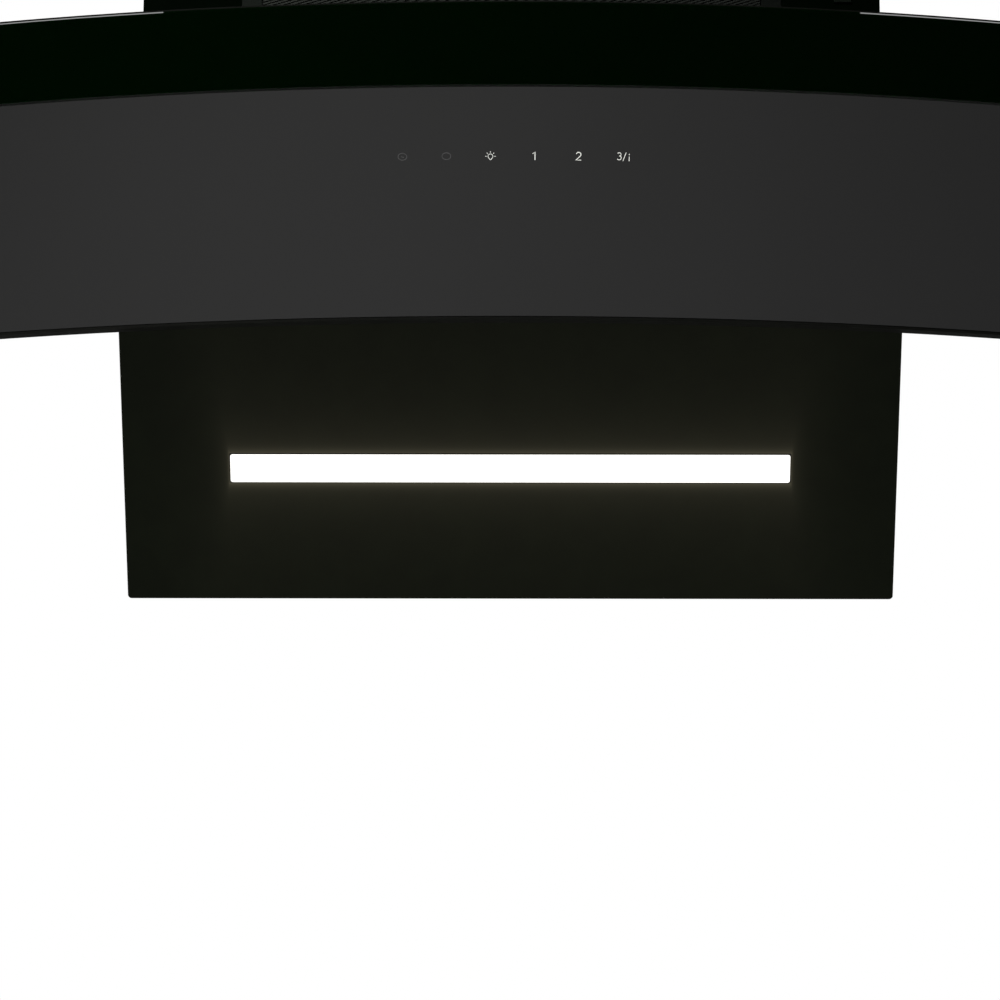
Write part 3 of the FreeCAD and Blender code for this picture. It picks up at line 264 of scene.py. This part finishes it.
def paint_with_painted_glow(name, colour, gloss, rough):
    """Powder coat with a painted glow: the stray light of the window painted on it as emission,
    which fades with the distance.
    """
    shader = painted(name, colour, gloss, rough)
    distance = beyond_window(shader, WINDOW_HALF, PAINTED_GLOW_SPREAD)
    total = 0.0
    for glow, reach in ((EDGE_PAINTED_GLOW, EDGE_REACH), (NEAR_PAINTED_GLOW, NEAR_REACH), (FAR_PAINTED_GLOW, FAR_REACH)):
        fade = shader.numbers("EXPONENT", shader.numbers("DIVIDE", distance, -reach))
        total = shader.numbers("MULTIPLY_ADD", fade, glow, total)
    light = shader.calculate("ShaderNodeVectorMath", "SCALE", PAINTED_GLOW_TINT)
    shader.link(total, light, "Scale")
    # painted glow: the faded stray light goes into the panel's emission colour
    shader.link(light.outputs["Vector"], shader.surface, "Emission Color")
    shader.set(Emission_Strength=1.0)
    return shader.material


def glass(name, colour, gloss):
    """Back painted glass: a polished face over black."""
    shader = Shader(name)
    shader.set(Specular_IOR_Level=gloss, IOR=GLASS_IOR)
    shader.tint(shader.noise(per_metre=6), *shades(colour, spread=0.1))
    shader.roughen(shader.noise(per_metre=25), low=0.02, high=0.05)
    return shader.material


def sheet_metal(name, colour, rough):
    """Zinc coated sheet with crystal spangles."""
    shader = Shader(name)
    shader.set(Metallic=1.0)
    crystals = shader.cells(SPANGLES)
    shader.tint(crystals, *shades(colour, spread=0.05))
    shader.roughen(crystals, low=rough - 0.03, high=rough + 0.04)
    return shader.material


def brushed_metal(name, colour, rough):
    """Metal with fine lines drawn along X."""
    shader = Shader(name)
    shader.set(Metallic=1.0)
    lines = shader.noise(per_metre=1.0, detail=4.0, vector=shader.stretched(BRUSH_LINES))
    shader.tint(lines, *shades(colour, spread=0.08))
    shader.roughen(lines, low=rough - 0.05, high=rough + 0.08)
    return shader.material


def plastic(name, colour, gloss, rough):
    """Moulded plastic with a spark eroded grain."""
    shader = Shader(name)
    shader.set(Specular_IOR_Level=gloss)
    shader.tint(shader.noise(per_metre=60), *shades(colour, spread=0.08))
    grain = shader.noise(per_metre=1400)
    shader.roughen(grain, low=rough - 0.06, high=rough + 0.06)
    shader.relief(grain, depth=0.03 * MM, strength=0.3)
    return shader.material


def circuit_board(name, mask, copper):
    """Green solder mask over a pattern of copper areas."""
    shader = Shader(name)
    shader.tint(shader.cells(per_metre=350), mask, copper)
    shader.roughen(shader.noise(per_metre=300), low=0.3, high=0.45)
    return shader.material


def glowing(name, colour, strength):
    """Lit ink, a little uneven in its tint."""
    shader = Shader(name)
    shader.set(Emission_Strength=strength)
    evenness = shader.noise(per_metre=30)
    tints = shades(colour, spread=0.015)
    shader.tint(evenness, *tints)
    shader.tint(evenness, *tints, name="Emission Color")
    shader.roughen(evenness, low=0.45, high=0.55)
    return shader.material


def lit_diffuser(name, colour, strength):
    """Opal plastic that shines through the face of its lens; its edges and rim stay dark."""
    shader = Shader(name)
    shader.set(Emission_Strength=strength)
    shader.roughen(shader.noise(per_metre=200), low=0.4, high=0.5)
    face = shader.tree.nodes.new("ShaderNodeMapRange")
    face.inputs["From Min"].default_value = LIT_CORNER + LIT_EDGE
    face.inputs["From Max"].default_value = LIT_CORNER - LIT_EDGE
    shader.link(beyond_window(shader, LIT_HALF, LIT_FALL), face, "Value")
    shader.tint(face.outputs["Result"], EDGE_BROWN, colour)
    shader.tint(face.outputs["Result"], UNLIT, colour, name="Emission Color")
    return shader.material


FINISHES = {
    "black_paint": paint("satin_black_paint", (0.0075, 0.0080, 0.0066), gloss=0.5, rough=0.38),
    # posts: black paint made darker than the body's, with their shade painted into its colour
    "post_black": paint("black_paint_with_painted_shade", (0.0005, 0.0030, 0.0006), gloss=0.012, rough=0.6),
    # visor frame: black paint made lighter than the body's, with the light on its lip painted into
    # its colour
    "frame_black": paint("frame_black_paint_with_painted_light", (0.0105, 0.0110, 0.0095), gloss=0.02, rough=0.6),
    "touch_glass_black": glass("touch_glass", (0.0012, 0.0012, 0.0012), gloss=0.5),
    "fascia_glass_black": glass("fascia_glass", (0.0001, 0.0032, 0.0002), gloss=0.5),
    "zinc_sheet": sheet_metal("zinc_sheet", (0.48, 0.49, 0.50), rough=0.42),
    "filter_aluminium": brushed_metal("filter_aluminium", (0.011, 0.013, 0.011), rough=0.5),
    "mesh_aluminium": brushed_metal("mesh_aluminium", (0.031, 0.034, 0.030), rough=0.5),
    "bright_steel": brushed_metal("bright_steel", (0.62, 0.62, 0.63), rough=0.25),
    "dark_steel": brushed_metal("dark_steel", (0.014, 0.019, 0.014), rough=0.4),
    "motor_steel": sheet_metal("motor_steel", (0.38, 0.38, 0.39), rough=0.38),
    "lamp_aluminium": brushed_metal("lamp_aluminium", (0.68, 0.69, 0.70), rough=0.35),
    "opal_plastic": lit_diffuser("lit_opal_diffuser", (1.0, 0.985, 0.94), strength=1.2),
    "circuit_board": circuit_board("circuit_board", (0.012, 0.075, 0.03), (0.03, 0.14, 0.06)),
    "black_plastic": plastic("black_plastic", (0.014, 0.014, 0.015), gloss=0.4, rough=0.5),
    "grey_plastic": plastic("grey_plastic", (0.30, 0.31, 0.32), gloss=0.4, rough=0.5),
}
OWN_FINISHES = {
    # the lamp panel's paint carries the painted glow round the light window
    "lamp_panel": paint_with_painted_glow("panel_paint_with_painted_glow", (0.0063, 0.0086, 0.0038), gloss=0.05, rough=0.45),
    # header and sill plates take the darker post paint instead of their slot's black paint: painted
    # shade
    "header_plate": FINISHES["post_black"],
    "sill_plate": FINISHES["post_black"],
}
LIT_MARK = glowing("lit_symbol", (0.80, 0.81, 0.76), strength=0.60)
FAINT_MARK = glowing("faint_symbol", (0.07, 0.07, 0.07), strength=0.38)


def dress_nodes():
    """Give each node of the model its own finish, or that of its slot."""
    for subpart in frame["record"]["subparts"]:
        thing = nodes[subpart["node"]]
        finish = OWN_FINISHES.get(subpart["node"], FINISHES[subpart["material_slot"]])
        if not thing.material_slots:
            thing.data.materials.append(finish)
        for place in thing.material_slots:
            place.material = finish


def solid(name, corners, faces, finish):
    mesh = bpy.data.meshes.new(name)
    mesh.from_pydata(corners, [], faces)
    mesh.update()
    thing = bpy.data.objects.new(name, mesh)
    thing.data.materials.append(finish)
    bpy.context.scene.collection.objects.link(thing)
    return thing


def add_bar(corners, faces, sections, closed=False):
    """Add a square bar that runs through its four cornered sections."""
    first = len(corners)
    count = len(sections)
    for section in sections:
        corners.extend(section)
    for index in range(count if closed else count - 1):
        here = first + 4 * index
        there = first + 4 * ((index + 1) % count)
        for edge in range(4):
            other = (edge + 1) % 4
            faces.append((here + edge, there + edge, there + other, here + other))
    if not closed:
        last = first + 4 * (count - 1)
        faces.append((first, first + 1, first + 2, first + 3))
        faces.append((last + 3, last + 2, last + 1, last))


def arc(middle, radius, start, end, squeeze=1.0):
    """Points along part of a circle, angles in degrees."""
    points = []
    for step in range(ARC_STEPS + 1):
        turn = math.radians(start + (end - start) * step / ARC_STEPS)
        points.append(Vector((middle[0] + radius * math.cos(turn),
                              middle[1] + squeeze * radius * math.sin(turn))))
    return points


def line(*points):
    return [Vector(point) for point in points]


def stroke_edges(points, width, closed):
    """Pairs of points on both sides of a stroke."""
    pairs = []
    count = len(points)
    for index, point in enumerate(points):
        before = points[index - 1] if closed or index > 0 else point
        after = points[(index + 1) % count] if closed or index < count - 1 else point
        along = (after - before).normalized()
        side = Vector((-along.y, along.x))
        ahead = (after - point).normalized() if after != point else along
        mitre = 1 / max(abs(ahead.dot(along)), 1 / MITRE_LIMIT)
        pairs.append((point + side * width / 2 * mitre, point - side * width / 2 * mitre))
    return pairs


def add_stroke(corners, faces, points, width, closed=False):
    """Add a thin ribbon that follows the points, partly sunk into the glass."""
    sections = []
    for left, right in stroke_edges(points, width, closed):
        bottom = [(side.x, side.y, -MARK_SUNK) for side in (left, right)]
        top = [(side.x, side.y, MARK_PROUD) for side in (right, left)]
        sections.append(bottom + top)
    add_bar(corners, faces, sections, closed)


def glass_places(count):
    """Places of a row of symbols on the front of the touch glass, Z out of it and Y up along it."""
    low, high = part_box("touch_glass")
    surface = BVHTree.FromObject(nodes["touch_glass"], bpy.context.evaluated_depsgraph_get())
    places = []
    for index in range(count):
        across = (index - (count - 1) / 2) * MARK_PITCH + MARK_SHIFT
        start = Vector((across, low.y - GLASS_AHEAD, high.z - MARK_DROP))
        spot, out, *_ = surface.ray_cast(start, Vector((0, 1, 0)))
        right = Vector((0, 0, 1)).cross(out).normalized()
        turn = Matrix((right, out.cross(right), out)).transposed().to_4x4()
        places.append(Matrix.Translation(spot) @ turn)
    return places


# outlines of the symbols, in shares of their height, or of the ring's width

def one():
    return [line((-0.22, 0.28), (0.06, 0.5), (0.06, -0.5))]


def two():
    bowl = arc((0, 0.22), 0.28, 165, -35)
    return [bowl + line((-0.3, -0.46), (0.33, -0.46))]


def three_and_boost():
    """The sign 3/i, whose last letter stands a little lower."""
    upper = arc((-0.46, 0.34), 0.24, 150, -80)
    lower = arc((-0.46, -0.13), 0.28, 80, -150)
    slash = line((0.06, -0.55), (0.46, 0.6))
    stem = line((0.88, -0.56), (0.88, 0.06))
    dot = line((0.88, 0.26), (0.88, 0.44))
    return [upper + lower, slash, stem, dot]


def bulb():
    """Bulb that narrows downwards, and the rays round its upper half."""
    middle = Vector((0, -0.05))
    outline = arc(middle, 0.34, 205, -25) + line((0.06, -0.53), (-0.06, -0.53))
    rays = []
    for turn in (0, 45, 90, 135, 180):
        way = Vector((math.cos(math.radians(turn)), math.sin(math.radians(turn))))
        rays.append([middle + way * 0.52, middle + way * 0.73])
    return outline, rays


def ring():
    return arc((0, 0), 0.5, 0, 360, RING_TALL / RING_WIDE)[:-1]


def build_mark(name, place, size, strokes, loops, width, finish):
    corners, faces = [], []
    for points in strokes:
        add_stroke(corners, faces, [point * size for point in points], width)
    for points in loops:
        add_stroke(corners, faces, [point * size for point in points], width, closed=True)
    piece = solid(name, corners, faces, finish)
    piece.matrix_world = place
    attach(piece, "visor")


def build_marks():
    """Row of six touch symbols."""
    timer, grease, light, slow, medium, fast = glass_places(6)
    hand = line((-1 / 6, 0), (1 / 6, -1 / 10))
    outline, rays = bulb()
    build_mark("mark_timer", timer, RING_WIDE, [hand], [ring()], RING_STROKE, FAINT_MARK)
    build_mark("mark_filter", grease, RING_WIDE, [], [ring()], RING_STROKE, FAINT_MARK)
    build_mark("mark_light", light, BULB_TALL, rays, [outline], BULB_STROKE, LIT_MARK)
    build_mark("mark_speed_1", slow, DIGIT_TALL, one(), [], DIGIT_STROKE, LIT_MARK)
    build_mark("mark_speed_2", medium, DIGIT_TALL, two(), [], DIGIT_STROKE, LIT_MARK)
    build_mark("mark_speed_3", fast, SMALL_TALL, three_and_boost(), [], SMALL_STROKE, LIT_MARK)


def clipped(low, high, slope, rise):
    """Ends of the line z = slope * x + rise inside a rectangle, or None."""
    ends = sorted(((low.z - rise) / slope, (high.z - rise) / slope))
    left, right = max(low.x, ends[0]), min(high.x, ends[1])
    if right - left < STRAND_WIDE:
        return None
    return Vector((left, 0, slope * left + rise)), Vector((right, 0, slope * right + rise))


def add_strand(corners, faces, ends, front, back):
    """Add a flat strand of the mesh between two depths."""
    start, end = ends
    along = (end - start).normalized()
    side = Vector((-along.z, 0, along.x)) * STRAND_WIDE / 2
    sections = []
    for point in ends:
        lower, upper = point - side, point + side
        sections.append([(lower.x, front, lower.z), (upper.x, front, upper.z),
                         (upper.x, back, upper.z), (lower.x, back, lower.z)])
    add_bar(corners, faces, sections)


def build_mesh():
    """Fine diamond mesh: two layers of slanted strands across the filter frame."""
    low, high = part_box("filter_mesh")
    middle = (low + high) / 2
    inset = Vector((STRAND_WIDE, 0, STRAND_WIDE)) / 2
    low_edge, high_edge = low + inset, high - inset
    climb = CELL_TALL / CELL_WIDE
    reach = climb * (high.x - low.x) / 2 + (high.z - low.z) / 2
    corners, faces = [], []
    for slope, front, back in ((climb, low.y, middle.y), (-climb, middle.y, high.y)):
        for index in range(int(2 * reach / CELL_TALL) + 1):
            ends = clipped(low_edge, high_edge, slope, middle.z - reach + index * CELL_TALL)
            if ends:
                add_strand(corners, faces, ends, front, back)
    piece = solid("fine_filter_mesh", corners, faces, FINISHES["mesh_aluminium"])
    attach(piece, "filter")
    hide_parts("filter_mesh")


def show_pale(shader):
    """Lift the surface for the camera alone, so that it looks pale and keeps its shadows."""
    path = shader.tree.nodes.new("ShaderNodeLightPath")
    glow = shader.tree.nodes.new("ShaderNodeEmission")
    total = shader.tree.nodes.new("ShaderNodeAddShader")
    output = shader.tree.nodes["Material Output"]
    strength = shader.numbers("MULTIPLY", path.outputs["Is Camera Ray"], FLOOR_LIFT)
    shader.link(strength, glow, "Strength")
    shader.link(shader.surface.outputs["BSDF"], total, 0)
    shader.link(glow.outputs["Emission"], total, 1)
    shader.link(total.outputs["Shader"], output, "Surface")


def build_floor():
    """Pale floor under the hood."""
    corners = [(-FLOOR_HALF, -FLOOR_HALF, FLOOR_LEVEL), (FLOOR_HALF, -FLOOR_HALF, FLOOR_LEVEL),
               (FLOOR_HALF, FLOOR_HALF, FLOOR_LEVEL), (-FLOOR_HALF, FLOOR_HALF, FLOOR_LEVEL)]
    shader = Shader("pale_floor")
    shader.set(Specular_IOR_Level=0.1)
    shader.tint(shader.noise(per_metre=2), (0.78, 0.78, 0.775), (0.80, 0.80, 0.795))
    shader.roughen(shader.noise(per_metre=30), low=0.75, high=0.85)
    show_pale(shader)
    floor = solid("studio_floor", corners, [(0, 1, 2, 3)], shader.material)


def build_world():
    """White backdrop to the camera; other rays see it behind the hood and a dim room in front."""
    world = bpy.data.worlds.new("studio")
    bpy.context.scene.world = world
    world.use_nodes = True
    tree = world.node_tree
    tree.nodes.clear()
    direction = tree.nodes.new("ShaderNodeTexCoord")
    split = tree.nodes.new("ShaderNodeSeparateXYZ")
    ramp = tree.nodes.new("ShaderNodeMapRange")
    ramp.interpolation_type = "SMOOTHSTEP"
    ramp.inputs["From Min"].default_value = DIM_FROM
    ramp.inputs["From Max"].default_value = WHITE_FROM
    ramp.inputs["To Min"].default_value = DIM_ROOM
    ramp.inputs["To Max"].default_value = WHITE_ROOM
    room = tree.nodes.new("ShaderNodeBackground")
    white = tree.nodes.new("ShaderNodeBackground")
    white.inputs["Color"].default_value = (1, 1, 1, 1)
    white.inputs["Strength"].default_value = 1.0
    path = tree.nodes.new("ShaderNodeLightPath")
    mix = tree.nodes.new("ShaderNodeMixShader")
    output = tree.nodes.new("ShaderNodeOutputWorld")
    tree.links.new(direction.outputs["Generated"], split.inputs["Vector"])
    tree.links.new(split.outputs["Y"], ramp.inputs["Value"])
    tree.links.new(ramp.outputs["Result"], room.inputs["Strength"])
    tree.links.new(path.outputs["Is Camera Ray"], mix.inputs["Fac"])
    tree.links.new(room.outputs["Background"], mix.inputs[1])
    tree.links.new(white.outputs["Background"], mix.inputs[2])
    tree.links.new(mix.outputs["Shader"], output.inputs["Surface"])


def add_lamp(name, place, target, size, power, spread):
    lamp = bpy.data.lights.new(name, "AREA")
    lamp.size = size
    lamp.spread = spread
    lamp.energy = power
    thing = bpy.data.objects.new(name, lamp)
    thing.location = place
    thing.rotation_euler = (target - place).to_track_quat("-Z", "Y").to_euler()
    bpy.context.scene.collection.objects.link(thing)


def build_lights():
    """Softbox over the floor in front, a little to the left, and a wide one over the hood."""
    floor_below = Vector((FRONT_PLACE.x, FRONT_PLACE.y, FLOOR_LEVEL))
    hood = Vector((0, 0, 0))
    add_lamp("front_softbox", FRONT_PLACE, floor_below, FRONT_SIZE, FRONT_WATTS, FRONT_SPREAD)
    add_lamp("top_softbox", TOP_PLACE, hood, TOP_SIZE, TOP_WATTS, TOP_SPREAD)


def build_camera():
    camera = bpy.data.cameras.new("photo_camera")
    camera.lens = CAMERA_LENS
    camera.sensor_width = SENSOR_WIDTH
    thing = bpy.data.objects.new("photo_camera", camera)
    pitch = Matrix.Rotation(math.pi / 2 + CAMERA_PITCH, 4, "X")
    turn = Matrix.Rotation(CAMERA_YAW, 4, "Z") @ pitch @ Matrix.Rotation(CAMERA_ROLL, 4, "Z")
    thing.matrix_world = Matrix.Translation(CAMERA_PLACE) @ turn
    bpy.context.scene.collection.objects.link(thing)
    bpy.context.scene.camera = thing


dress_nodes()
build_marks()
build_mesh()
build_floor()
build_world()
build_lights()
build_camera()
bpy.context.scene.view_settings.view_transform = "Standard"
